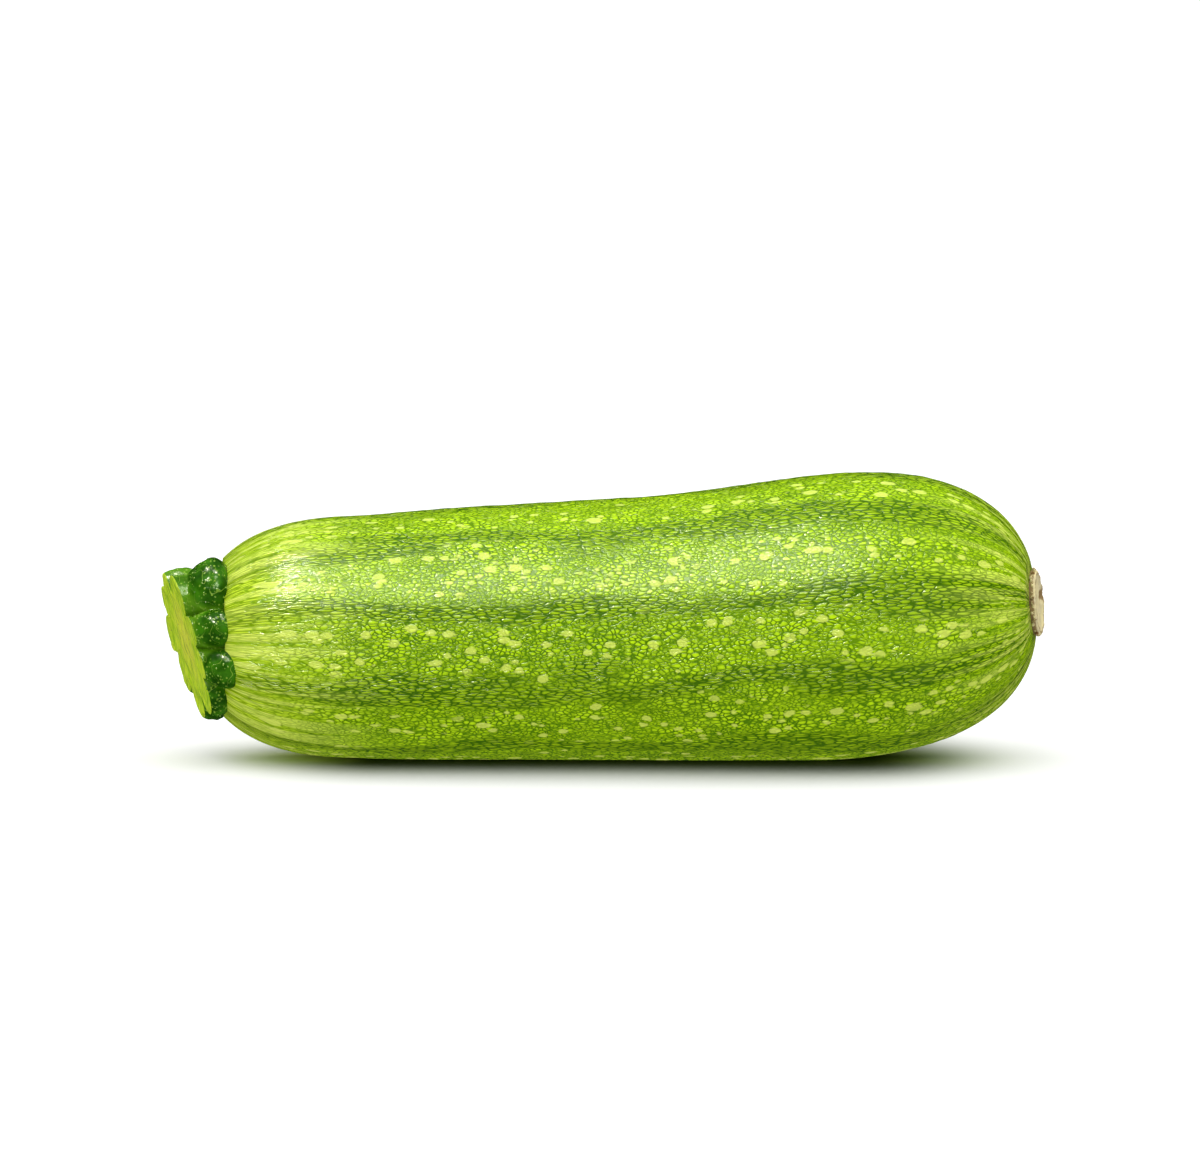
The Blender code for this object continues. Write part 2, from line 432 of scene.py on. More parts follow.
def fruit_tree(material):
    """The fruit's surface, from a grid of rows along it and segments round it.

    The first rows cover the flat where the stem sits, and the last ones the flower end."""
    labels = ("Rib Depth", "Swell Height", "Spot Height", "Grain Height", "End Furrow")
    inputs = [(label, "NodeSocketFloat") for label in labels]
    inputs += [("Rows", "NodeSocketInt"), ("Segments", "NodeSocketInt")]
    board, given = new_tree("fruit_body", inputs)
    grid_feeds = {"Vertices X": given["Rows"], "Vertices Y": given["Segments"]}
    grid = board.node("GeometryNodeMeshGrid", feeds={0: 1.0, 1: 1.0, **grid_feeds})
    place_x, place_y, _ = board.parts(board.node("GeometryNodeInputPosition").outputs[0])
    row = place_x + 0.5
    angle = (place_y + 0.5) * (-2.0 * math.pi)

    # Shares of the rows where the seat ends and where the cap of the flower end starts, and
    # how much its rows crowd towards the start; then the relief's scales, per metre
    seat_rows, cap_rows, cap_crowding = 0.03, 0.664, 1.25
    rib_scale, swell_scale, spot_scale, grain_scale = 40.0, 45.0, 330.0, 800.0
    tip_radius = 0.002

    seat_share = (row / seat_rows).clamped()
    shaft_share = ((row - seat_rows) / (cap_rows - seat_rows)).clamped()
    cap_share = ((row - cap_rows) / (1.0 - cap_rows)).clamped()
    cap_turn = cap_share ** cap_crowding * (math.pi / 2.0)
    cap_power = 2.0 / END_POWER
    cap_reach = board.math("SINE", cap_turn) ** cap_power * FLOWER_END_LENGTH
    station = STEM_SEAT + shaft_share * (FLOWER_END_START - STEM_SEAT) + cap_reach
    shaft = GREATEST_RADIUS - SHAFT_TAPER * soft_ramp(board, FLOWER_END_START - station)
    shaft = shaft - waist(board, station)
    shoulder = blunt(((SHOULDER_START - station) / SHOULDER_LENGTH).clamped())
    flower_end = board.greatest(board.math("COSINE", cap_turn), 0.0) ** cap_power
    radius = seat_share * shaft * shoulder * flower_end

    grown_row = ((row - seat_rows) / (1.0 - seat_rows)).clamped()
    along, turn_y, turn_z = skin_coordinates(board, grown_row, angle)
    grown = board.vector(along, turn_y, turn_z)
    near_stem = board.math("EXPONENT", along / -STEM_FURROW_REACH)
    near_flower = board.math("EXPONENT", (GROWN_LENGTH - along) / -FLOWER_FURROW_REACH)
    rib_wander = board.noise(grown, rib_scale) * 1.2
    rib = board.math("COSINE", angle * STRIPES + rib_wander) * 0.5 + 0.5
    ribs = rib * (given["Rib Depth"] + given["End Furrow"] * (near_stem + near_flower))
    swell = (board.noise(grown, swell_scale, 1.0) - 0.5) * given["Swell Height"]
    stretched = board.vector(along * 0.62, turn_y, turn_z)
    spots = board.voronoi(stretched, spot_scale).outputs[0]
    spot = Number(board, spots).between(0.5, 0.1) * given["Spot Height"]
    grain = (board.noise(stretched, grain_scale, 2.0) - 0.5) * given["Grain Height"]
    relief = seat_share * (swell + spot + grain - ribs) * flower_end ** 0.3
    radius = radius + relief * board.math("GREATER_THAN", radius, tip_radius)

    across = radius * board.math("COSINE", angle)
    up = radius * board.math("SINE", angle)
    seat = SCAR_SEAT + across * SCAR_SLANT_SIDE + up * SCAR_SLANT_UP
    x, y, z = carried_to_axis(board, board.least(station, seat), across, up)
    eased = board.greatest(board.least(z, FLAT_EASE) + FLAT_EASE, 0.0) ** 2.0 / (4.0 * FLAT_EASE)
    z = board.greatest(z, FLAT_EASE) - FLAT_EASE + eased

    uv_settings = {"data_type": "FLOAT2", "domain": "CORNER"}
    uv_feeds = {0: grid.outputs[0], "Name": "OFBake", "Value": grid.outputs[1]}
    mapped = board.node("GeometryNodeStoreNamedAttribute", uv_settings, uv_feeds)
    grown_settings = {"data_type": "FLOAT_VECTOR", "domain": "POINT"}
    grown_feeds = {0: mapped.outputs[0], "Name": "grown", "Value": grown}
    stored = board.node("GeometryNodeStoreNamedAttribute", grown_settings, grown_feeds)
    placed_feeds = {0: stored.outputs[0], "Position": board.vector(x, y, z)}
    placed = board.node("GeometryNodeSetPosition", feeds=placed_feeds)
    merge_feeds = {0: placed.outputs[0], "Distance": 1e-5}
    merged = board.node("GeometryNodeMergeByDistance", feeds=merge_feeds)
    close_tree(board, merged.outputs[0], material)
    return board.tree


def skin_material(looks):
    """Skin: a green ground with dark stripes, a fine net of pale cells, and cream spots.

    The pattern is laid out where the skin grew, in millimetres."""
    material, board = new_material("courgette_skin")
    grown = board.node("ShaderNodeAttribute", {"attribute_name": "grown"}).outputs["Vector"]
    along, turn_y, turn_z = [part * (1.0 / MM) for part in board.parts(grown)]
    length = GROWN_LENGTH / MM
    fine_net, round_net, spot_net, nick_net = 1.75, 1.3, 0.42, 0.055    # cells per millimetre

    def stretched(factor, wander=0.0):
        """Place in the pattern; a factor below 1 draws it out along the fruit."""
        return board.vector(along * factor + wander, turn_y, turn_z)

    near_stem = board.math("EXPONENT", along / (-STEM_STREAK_REACH / MM))
    near_flower = board.math("EXPONENT", (length - along) / (-FLOWER_STREAK_REACH / MM))
    near_end = (near_stem + near_flower).clamped()
    broad = board.noise(stretched(0.35), 0.09, 2.0)
    drift = (board.noise(stretched(0.3), 0.1, 3.0) - 0.5) * 7.0
    stripe = stripe_share(board, turn_y, turn_z, drift)
    dark_band = stripe.between(0.48, 0.92)
    pale_band = stripe.between(0.5, 0.05)

    warp = board.noise(stretched(0.6), 0.7, 2.0) - 0.5
    use_long = (dark_band * 0.7 + near_end * 1.2 + broad * 0.6).between(0.5, 1.15)
    patchy = board.noise(stretched(0.45), 0.3, 2.0).between(0.34, 0.6)

    def net_cells(factor, scale):
        """Pale inside of each cell of a net drawn out along the fruit."""
        place = stretched(factor, warp * 1.6 * factor)
        edge = board.voronoi(place, scale, 1.0, "DISTANCE_TO_EDGE").outputs[0]
        centre = board.voronoi(place, scale).outputs[0]
        inside = Number(board, edge).between(0.04, 0.17)
        return inside * (1.0 - Number(board, centre).between(0.25, 0.7) * 0.5)

    small_cell = net_cells(0.6, fine_net)
    round_cell = net_cells(0.62, round_net)
    round_cell = round_cell * patchy + small_cell * (1.0 - patchy)
    long_cell = net_cells(0.27, fine_net)
    cell = round_cell * (1.0 - use_long) + long_cell * use_long
    speck = cell * (0.72 + 0.28 * patchy) * (1.0 - dark_band * 0.32)

    spot_edge = (board.noise(stretched(0.7), 0.75, 2.0) - 0.5) * 0.4
    spot_cells = board.voronoi(stretched(0.66, warp * 0.8), spot_net)
    lottery, size, _ = board.parts(spot_cells.outputs[1])
    spot_radius = 0.16 + size * size * 0.24 + pale_band * 0.07 + near_flower * 0.1
    spot_distance = Number(board, spot_cells.outputs[0]) + spot_edge
    spot = (spot_radius - spot_distance).between(-0.04, 0.07)
    chosen = (lottery + pale_band * 0.55 - dark_band * 0.5).between(0.4, 0.72)
    spot = spot * chosen
    ring = (spot_radius + 0.14 - spot_distance).between(-0.02, 0.1) * chosen

    streak_field = board.noise(board.vector(along * 0.05, turn_y, turn_z), 0.5, 3.0)
    streaks = streak_field.between(0.47, 0.6) * near_end.between(0.1, 0.5)
    gloss_field = board.noise(stretched(0.25), 0.35, 2.0)

    ground = board.mix(broad.between(0.35, 0.65), looks.ground, looks.ground_deep)
    ground = board.mix(dark_band * 0.85, ground, looks.stripe)
    shoulder = near_stem.between(0.1, 0.8) * (1.0 - dark_band * 0.4)
    ground = board.mix(shoulder * 0.8, ground, looks.shoulder)
    ground = board.mix(ring * 0.5, ground, looks.stripe)
    pale = board.mix(near_stem.between(0.05, 0.7), looks.speck, looks.shoulder_speck)
    colour = board.mix(speck, ground, pale)
    colour = board.mix(streaks * (0.4 + 0.5 * cell), colour, looks.cream)
    colour = board.mix(spot * 0.75, colour, looks.cream)
    nick_cells = board.voronoi(stretched(1.0), nick_net)
    nicks = Number(board, nick_cells.outputs[0]).between(0.022, 0.012)
    colour = board.mix(nicks * 0.85, colour, NICK_COLOUR)

    fine = board.noise(stretched(0.8), 2.4, 3.0)
    height = cell + spot * 0.5 + fine * 0.5 + streaks * 0.2 - nicks
    roughness = looks.roughness + (gloss_field - 0.5) * 0.14 - near_stem * 0.05
    relief = bumped(board, height, looks.bump_height)
    others = {"IOR": 1.4, "Specular IOR Level": looks.shine, **relief}
    finish_material(board, colour, roughness, others)
    return material


# ---------------------------------------------------------------- stem

def turned_from(angle, middle):
    """Degrees from a lobe's middle, between -180 and 180."""
    return (math.degrees(angle) - middle + 180.0) % 360.0 - 180.0


def stem_radius(station, angle):
    """Radius of the stem's lobed side, and how deep in a crease that point is, from 0 to 1."""
    millimetres = station / MM
    core = STEM_CORE / MM
    radii = []
    for middle, half_width, reach, lobe_station, rounding, crease in STEM_LOBES:
        turn = abs(turned_from(angle, middle)) / half_width
        beyond = max(millimetres - lobe_station, 0.0) / rounding
        before = min(max(lobe_station - millimetres, 0.0) / 4.4, 1.15)
        inside = 1.0 - (turn / 1.08) ** 2.3
        inside = inside ** 0.5 if inside > 0.0 else -1.6 * (turn - 1.08)
        round_off = math.sqrt(max(1.0 - min(beyond, 1.0) ** 2.4, 0.0)) - 0.3 * before ** 2.0
        radii.append(reach - crease * (1.0 - inside) - (reach - core) * (1.0 - round_off))
    best = max(radii)
    total = sum(math.exp((radius - best) / LOBE_BLEND) for radius in radii)
    radius = best + LOBE_BLEND * math.log(total) * 0.5
    crease_share = min(max((FULL_REACH - 2.4 - radius) / 2.2, 0.0), 1.0)
    return max(radius, core) * MM, crease_share


def stem_station_of_cut(radius, angle):
    """Station of the slanting cut at a place across the stem."""
    across = radius * math.cos(angle)
    up = radius * math.sin(angle)
    return STEM_CUT - CUT_SLANT_SIDE * across - CUT_SLANT_UP * up


def stem_rim(angle):
    """Radius of the stem where the slanting cut meets its side."""
    radius = 0.014
    for _ in range(4):
        radius, _ = stem_radius(stem_station_of_cut(radius, angle), angle)
    return radius


def stem_surface(looks):
    """Points and attributes of the stem, from the middle of the cut to behind the foot."""
    segments, face_rows, side_rows, back_rows = 360, 34, 62, 4
    foot = STEM_SEAT + STEM_DEPTH
    points, straight, cut, crease = [], [], [], []

    def add(station, radius, angle, on_cut, in_crease, relief):
        across = radius * math.cos(angle)
        up = radius * math.sin(angle)
        points.append(carry_to_axis(station + relief, across, up))
        straight.append(Vector((station, across, up)))
        cut.append(on_cut)
        crease.append(in_crease)

    angles = angles_round(segments)
    rims = [stem_rim(angle) for angle in angles]
    add(stem_station_of_cut(0.0, 0.0), 0.0, 0.0, 1.0, 0.0, looks.cut_dish)
    for row in range(1, face_rows):
        share = row / face_rows
        for angle, rim in zip(angles, rims):
            radius = rim * share
            place = Vector((radius * math.cos(angle), radius * math.sin(angle), 0.0)) / MM
            fibre = noise.noise(Vector((place.x * 1.1, place.y * 0.28, 3.0)))
            lump = noise.noise(place * 0.35)
            relief = looks.cut_dish * (1.0 - share ** 3.0) + fibre * CUT_FIBRE + lump * CUT_LUMP
            if share > 0.9:
                relief -= CUT_GROOVE * math.sin(math.pi * (share - 0.9) / 0.1)
            add(stem_station_of_cut(radius, angle), radius, angle, 1.0, 0.0, relief)
    for row in range(side_rows):
        share = row / (side_rows - 1)
        for angle, rim in zip(angles, rims):
            start = stem_station_of_cut(rim, angle)
            station = start + (foot - start) * share
            radius, in_crease = stem_radius(station, angle)
            place = Vector((station, radius * math.cos(angle), radius * math.sin(angle))) / MM
            lump = noise.noise(place * 0.42) * SIDE_LUMP
            lump += noise.noise(place * 1.1) * SIDE_GRAIN
            radius += lump * min(share * 6.0, 1.0)
            on_cut = 1.0 if row == 0 else 0.0
            add(station, radius, angle, on_cut, in_crease, 0.0)
    for row in range(1, back_rows + 1):
        share = 1.0 - row / (back_rows + 1)
        for angle in angles:
            radius, in_crease = stem_radius(foot, angle)
            add(foot + 0.0002 * row, radius * share, angle, 0.0, in_crease, 0.0)
    add(foot + 0.001, 0.0, 0.0, 0.0, 0.0, 0.0)
    rows = 1 + (face_rows - 1) + side_rows + back_rows + 1
    return points, rows, segments, {"straight": straight, "cut": cut, "crease": crease}


def stem_material(looks):
    """Dark glossy lobes with pale dots and veins, and a fibrous yellow-green cut."""
    material, board = new_material("courgette_stem")
    straight = board.node("ShaderNodeAttribute", {"attribute_name": "straight"}).outputs["Vector"]
    cut = board.number("ShaderNodeAttribute", {"attribute_name": "cut"}, output="Fac")
    crease = board.number("ShaderNodeAttribute", {"attribute_name": "crease"}, output="Fac")
    station, across, up = [part * (1.0 / MM) for part in board.parts(straight)]
    place = board.vector(station, across, up)

    blotch = board.noise(place, 0.32, 3.0)
    dots = Number(board, board.voronoi(place, 1.15).outputs[0]).between(0.32, 0.16)
    dots = dots * board.noise(place, 0.25, 1.0).between(0.36, 0.54)
    vein_field = board.noise(place, 0.3, 0.0, 0.8)
    veins = board.math("ABSOLUTE", vein_field - 0.5).between(0.012, 0.003)
    skin = board.mix(blotch.between(0.35, 0.7), looks.skin_deep, looks.skin)
    skin = board.mix(crease.between(0.35, 1.0) * 0.55, skin, looks.crease)
    skin = board.mix(veins * 0.5, skin, looks.dot)
    skin = board.mix(dots * 0.75, skin, looks.dot)

    fibre = board.noise(board.vector(0.0, across * 2.2, up * 0.22), 1.0, 4.0)
    middle = board.noise(board.vector(0.0, across, up * 0.7), 0.22, 2.0)
    reach = board.math("SQRT", across * across + up * up * 0.6)
    heart = (reach + middle * 5.0).between(11.0, 4.5)
    flesh = board.mix(heart * 0.9, looks.flesh, looks.heart)
    flesh = board.mix(fibre.between(0.4, 0.62) * 0.75, flesh, looks.fibre)
    flesh = board.mix(fibre.between(0.48, 0.34) * 0.7, flesh, looks.flesh_deep)
    specks = Number(board, board.voronoi(place, 0.7).outputs[0]).between(0.12, 0.06)
    flesh = board.mix(specks * 0.6, flesh, FLESH_SPECK_COLOUR)

    on_cut = cut.between(0.35, 0.65)
    colour = board.mix(on_cut, skin, flesh)
    side_height = blotch * 0.8 + dots * 0.5 + veins * 0.3
    cut_height = fibre * 1.6 - specks * 0.4
    height = side_height * (1.0 - on_cut) + cut_height * on_cut
    roughness = 0.22 + on_cut * 0.4 + (blotch - 0.5) * 0.1
    relief = bumped(board, height, looks.bump_height)
    others = {"IOR": 1.45, "Specular IOR Level": 0.2, **relief}
    finish_material(board, colour, roughness, others)
    return material


def wart_tree(material):
    """Small round warts scattered over the stem's green side."""
    inputs = [("Density", "NodeSocketFloat"), ("Wart Radius", "NodeSocketFloat")]
    board, given = new_tree("stem_warts", inputs)
    cut_feeds = {"Name": "cut"}
    cut = board.number("GeometryNodeInputNamedAttribute", {"data_type": "FLOAT"}, cut_feeds)
    on_side = board.math("LESS_THAN", cut, 0.01)
    spread_feeds = {0: given["Geometry"], 1: on_side, "Density": given["Density"], "Seed": 7}
    spread = board.node("GeometryNodeDistributePointsOnFaces", feeds=spread_feeds)
    ball = board.node("GeometryNodeMeshIcoSphere", feeds={"Radius": 1.0, "Subdivisions": 2})
    size_feeds = {2: 0.45, 3: 1.0, "Seed": 11}
    size = board.number("FunctionNodeRandomValue", {"data_type": "FLOAT"}, size_feeds, output=1)
    scale = size * given["Wart Radius"]
    flat = board.vector(scale, scale, scale * 0.5)
    seat_feeds = {"Points": spread.outputs[0], "Instance": ball.outputs[0], "Scale": flat}
    seat_feeds["Rotation"] = spread.outputs[2]
    seated = board.node("GeometryNodeInstanceOnPoints", feeds=seat_feeds)
    close_tree(board, seated.outputs[0], material)
    return board.tree


def wart_material(looks):
    material, board = new_material("courgette_wart")
    where = board.node("ShaderNodeTexCoord").outputs["Object"]
    tone = board.noise(where, 900.0, 2.0)
    colour = board.mix(tone.between(0.3, 0.7), looks.skin, looks.dot)
    others = {"IOR": 1.45, **bumped(board, tone, WART_RELIEF, 0.5)}
    finish_material(board, colour, 0.3 + tone * 0.1, others)
    return material


# ---------------------------------------------------------------- scar

def scar_point(radius, angle, height):
    """A point above the slanting seat of the scar."""
    across = radius * math.cos(angle)
    up = radius * math.sin(angle) + SCAR_RAISE
    station = SCAR_SEAT + SCAR_SLANT_SIDE * across + SCAR_SLANT_UP * up
    return carry_to_axis(station + height, across, up)


def scar_outline(angle):
    """Radius of the scar's slightly ragged edge."""
    ragged = noise.noise(Vector((math.cos(angle) * 2.2, math.sin(angle) * 2.2, 5.0)))
    fine = noise.noise(Vector((math.cos(angle) * 9.0, math.sin(angle) * 9.0, 1.0)))
    return SCAR_RADIUS * (0.97 + 0.035 * ragged + 0.02 * fine)


def scar_surface(looks):
    """Points of the scar, from behind the disc, round its edge, to the middle of its face."""
    segments, face_rows = 240, 44
    points, worn = [], []
    outline = [(angle, scar_outline(angle)) for angle in angles_round(segments)]

    def add(radius, angle, height, wear):
        points.append(scar_point(radius, angle, height))
        worn.append(wear)

    add(0.0, 0.0, SCAR_EDGE[0][1], 0.0)
    for share, height in SCAR_EDGE:
        for angle, edge in outline:
            add(edge * share, angle, height, 1.0)
    for row in range(face_rows):
        share = 0.985 * (1.0 - row / face_rows)
        for angle, edge in outline:
            radius = edge * share
            across = radius * math.cos(angle)
            up = radius * math.sin(angle)
            place = Vector((across, up, 0.0)) / MM
            lump = noise.noise(place * 0.5) * FACE_LUMP + noise.noise(place * 1.7) * FACE_GRAIN
            rim = math.exp(-((share - 0.9) / 0.07) ** 2)
            away = math.hypot(across - PIT_ACROSS, up - PIT_UP) / PIT_RADIUS
            pit = math.exp(-away ** 2)
            ridge = math.exp(-((away - 1.7) / 0.5) ** 2)
            height = SCAR_FACE + lump + rim * FACE_RIM - pit * PIT_DEPTH + ridge * PIT_RIDGE
            height -= looks.dish * (1.0 - share)
            add(radius, angle, height, min(max(rim * 0.8 + pit * 1.5, 0.0), 1.0))
    add(0.0, 0.0, SCAR_FACE - looks.dish, 0.0)
    rows = 1 + len(SCAR_EDGE) + face_rows + 1
    return points, rows, segments, {"worn": worn}


def scar_material(looks):
    """Dry cork: grey-beige with browner, rougher edges."""
    material, board = new_material("courgette_cork")
    where = board.node("ShaderNodeTexCoord").outputs["Object"]
    worn = board.number("ShaderNodeAttribute", {"attribute_name": "worn"}, output="Fac")
    patch = board.noise(where, 420.0, 4.0)
    grain = board.noise(where, 2200.0, 3.0)
    colour = board.mix(patch.between(0.35, 0.68), looks.cork, looks.cork_grey)
    edge = (worn + (grain - 0.5) * 0.7).between(0.42, 0.9)
    colour = board.mix(edge * 0.8, colour, looks.crust)
    colour = board.mix(grain.between(0.62, 0.75) * 0.4, colour, looks.crust)
    height = patch * 0.6 + grain * 0.5
    others = {"IOR": 1.4, "Specular IOR Level": 0.2, **bumped(board, height, CORK_RELIEF)}
    finish_material(board, colour, 0.72 + grain * 0.2, others)
    return material


def crust_tree(material):
    """Crumbs of dry flower, set along the edge of the scar."""
    inputs = [("Crumb Radius", "NodeSocketFloat"), ("Spread", "NodeSocketFloat")]
    board, given = new_tree("scar_crust", inputs)
    ball = board.node("GeometryNodeMeshIcoSphere", feeds={"Radius": 1.0, "Subdivisions": 2})
    where = board.node("GeometryNodeInputPosition").outputs[0]
    rough = board.noise(where, 1.6, 1.0, output="Color")
    shift_feeds = {0: rough, 1: (0.5, 0.5, 0.5)}
    shift = board.node("ShaderNodeVectorMath", {"operation": "SUBTRACT"}, shift_feeds)
    lumpy_feeds = {0: ball.outputs[0], "Offset": shift.outputs[0]}
    lumpy = board.node("GeometryNodeSetPosition", feeds=lumpy_feeds)
    size_feeds = {2: 0.3, 3: 1.0, "Seed": 3}
    size = board.number("FunctionNodeRandomValue", {"data_type": "FLOAT"}, size_feeds, output=1)
    turn_feeds = {0: (0.0, 0.0, 0.0), 1: (6.2, 6.2, 6.2), "Seed": 5}
    turn = board.node("FunctionNodeRandomValue", {"data_type": "FLOAT_VECTOR"}, turn_feeds)
    unit_feeds = {0: (-1.0, -1.0, -1.0), 1: (1.0, 1.0, 1.0), "Seed": 9}
    unit = board.node("FunctionNodeRandomValue", {"data_type": "FLOAT_VECTOR"}, unit_feeds)
    stray_feeds = {0: unit.outputs[0], "Scale": given["Spread"]}
    stray = board.node("ShaderNodeVectorMath", {"operation": "SCALE"}, stray_feeds)
    strewn_feeds = {0: given["Geometry"], "Offset": stray.outputs[0]}
    strewn = board.node("GeometryNodeSetPosition", feeds=strewn_feeds)
    scale = size * given["Crumb Radius"]
    seat_feeds = {"Points": strewn.outputs[0], "Instance": lumpy.outputs[0]}
    seat_feeds["Rotation"] = turn.outputs[0]
    seat_feeds["Scale"] = board.vector(scale, scale, scale * 0.7)
    seated = board.node("GeometryNodeInstanceOnPoints", feeds=seat_feeds)
    close_tree(board, seated.outputs[0], material)
    return board.tree


def crust_path(crumbs):
    """Mesh of points along the edge of the scar, where crumbs sit."""
    points = []
    for angle in angles_round(crumbs):
        sway = noise.noise(Vector((math.cos(angle) * 3.0, math.sin(angle) * 3.0, 9.0)))
        points.append(scar_point(scar_outline(angle) * (0.99 + 0.02 * sway), angle, 0.0006))
    mesh = bpy.data.meshes.new("crust_path")
    mesh.from_pydata(points, [], [])
    return mesh


def crust_material(looks):
    material, board = new_material("courgette_crust")
    where = board.node("ShaderNodeTexCoord").outputs["Object"]
    tone = board.noise(where, 700.0, 3.0)
    colour = board.mix(tone.between(0.35, 0.62), looks.crust, looks.cork)
    others = {"IOR": 1.4, "Specular IOR Level": 0.2, **bumped(board, tone, CRUMB_RELIEF)}
    finish_material(board, colour, 0.7 + tone * 0.2, others)
    return material


# ---------------------------------------------------------------- settings

def colour_property(name, description, default):
    return FloatVectorProperty(
        name=name, description=description, default=default, subtype="COLOR", min=0.0, max=1.0
    )


def length_property(name, description, default):
    return FloatProperty(
        name=name, description=description, default=default, unit="LENGTH", precision=5
    )


def number_property(name, description, default):
    return FloatProperty(name=name, description=description, default=default)


class FruitLooks(bpy.types.PropertyGroup):
    """Sizes and colours of the fruit's skin"""

    rib_depth: length_property("Rib depth", "Rib to furrow along the body", 0.00022)
    end_furrow: length_property("End furrow", "Extra depth of the furrows at both ends", 0.0008)
    swell: length_property("Swell", "Height of the slow unevenness", 0.0007)
    spot_height: length_property("Spot height", "Height of the raised spots", 0.00007)
    grain_height: length_property("Grain height", "Height of the fine grain", 0.00008)
    bump_height: length_property("Bump height", "Height of the shading's fine relief", 0.00013)
    rows: IntProperty(name="Rows", description="Points along the fruit", default=330)
    segments: IntProperty(name="Segments", description="Points round the fruit", default=290)
    roughness: number_property("Roughness", "Of the skin", 0.2)
    shine: number_property("Shine", "Specular level of the skin", 0.3)
    ground: colour_property("Ground", "Green between the specks", (0.14, 0.3, 0.0))
    ground_deep: colour_property("Deep ground", "Its darker patches", (0.09, 0.23, 0.0))
    stripe: colour_property("Stripe", "Green of the dark stripes", (0.045, 0.14, 0.0))
    shoulder: colour_property("Shoulder", "Lime of the stem end", (0.34, 0.56, 0.0))
    speck: colour_property("Speck", "Fine pale cells", (0.56, 0.87, 0.005))
    shoulder_speck: colour_property("Shoulder speck", "Cells at the stem", (0.72, 0.95, 0.05))
    cream: colour_property("Cream", "Larger cream spots", (0.8, 0.95, 0.14))


class StemLooks(bpy.types.PropertyGroup):
    """Sizes and colours of the stem"""

    cut_dish: length_property("Cut dish", "Hollow of the cut in its middle", 0.0004)
    bump_height: length_property("Bump height", "Height of the shading's fine relief", 0.0002)
    wart_radius: length_property("Wart radius", "Radius of the largest warts", 0.00022)
    wart_density: number_property("Wart density", "Per square metre", 120000.0)
    skin: colour_property("Skin", "Green of the lobes", (0.045, 0.2, 0.002))
    skin_deep: colour_property("Deep skin", "Darkest green of the lobes", (0.012, 0.075, 0.0))
    crease: colour_property("Crease", "Lighter green between the lobes", (0.16, 0.4, 0.01))
    dot: colour_property("Dot", "Pale dots and veins", (0.35, 0.6, 0.06))
    flesh: colour_property("Flesh", "Yellow-green of the cut", (0.4, 0.66, 0.0))
    flesh_deep: colour_property("Deep flesh", "Greener lines in the cut", (0.2, 0.42, 0.0))
    heart: colour_property("Heart", "Paler middle of the cut", (0.7, 0.68, 0.06))
    fibre: colour_property("Fibre", "Pale fibres of the cut", (0.7, 0.85, 0.03))


class ScarLooks(bpy.types.PropertyGroup):
    """Sizes and colours of the flower's scar"""

    dish: length_property("Dish", "Hollow of the scar in its middle", 0.0004)
    crumb_radius: length_property("Crumb radius", "Radius of the largest crumbs", 0.00042)
    crumb_spread: length_property("Crumb spread", "How far a crumb strays", 0.00025)
    crumbs: IntProperty(name="Crumbs", description="Crumbs round the scar", default=120)
    cork: colour_property("Cork", "Beige of the scar", (0.8, 0.7, 0.36))
    cork_grey: colour_property("Grey cork", "Its greyer patches", (0.66, 0.58, 0.34))
    crust: colour_property("Crust", "Brown of the dry edge", (0.2, 0.1, 0.025))


class StageLooks(bpy.types.PropertyGroup):
    """Light, floor and camera"""

    view_height: FloatProperty(
        name="View height", description="Of the camera above the level",
        default=math.radians(6.3), subtype="ANGLE",
    )
    view_distance: length_property("View distance", "From camera to fruit", 1.3)
    view_width: length_property("View width", "Width of the view at the fruit", 0.2448)
    aim_side: length_property("Aim side", "Station of the middle of the view", -0.00085)
    aim_height: length_property("Aim height", "Of the middle of the view", 0.0365)
    floor: colour_property("Floor", "White of the floor", (0.84, 0.84, 0.84))
    overhead: number_property("Overhead", "Light of the cloth overhead", 1.95)
    walls: number_property("Walls", "Light from the sides", 0.16)
    table_glow: number_property("Table glow", "Light sent up by the table", 0.62)
    front_glow: number_property("Front glow", "More of it from the front", 0.6)
    mirrored: number_property("Mirrored", "Share of all that light seen in gloss", 0.03)
    broad_card: number_property("Broad card", "Power of the broad card", 14.0)
    left_card: number_property("Left card", "Power of the left card", 34.0)


# ---------------------------------------------------------------- operators

class COURGETTE_OT_fruit(bpy.types.Operator):
    """Build the fruit's skin surface"""

    bl_idname = "courgette.fruit"
    bl_label = "Fruit"

    def execute(self, context):
        looks = context.scene.courgette_fruit
        tree = fruit_tree(skin_material(looks))
        values = {
            "Rib Depth": looks.rib_depth,
            "End Furrow": looks.end_furrow,
            "Swell Height": looks.swell,
            "Spot Height": looks.spot_height,
            "Grain Height": looks.grain_height,
            "Rows": looks.rows,
            "Segments": looks.segments,
        }
        settle(mesh_from_tree("fruit_skin", tree, values), "fruit")
        return {"FINISHED"}


class COURGETTE_OT_stem(bpy.types.Operator):
    """Build the cut stem and its warts"""

    bl_idname = "courgette.stem"
    bl_label = "Stem"

    def execute(self, context):
        looks = context.scene.courgette_stem
        points, rows, segments, numbers = stem_surface(looks)
        stem = wrapped_mesh("stem_stump", points, rows, segments, stem_material(looks), numbers)
        values = {"Density": looks.wart_density, "Wart Radius": looks.wart_radius}
        tree = wart_tree(wart_material(looks))
        warts = mesh_from_tree("stem_warts", tree, values, stem.data.copy())
        settle(stem, "stem")
        settle(warts, None)
        return {"FINISHED"}


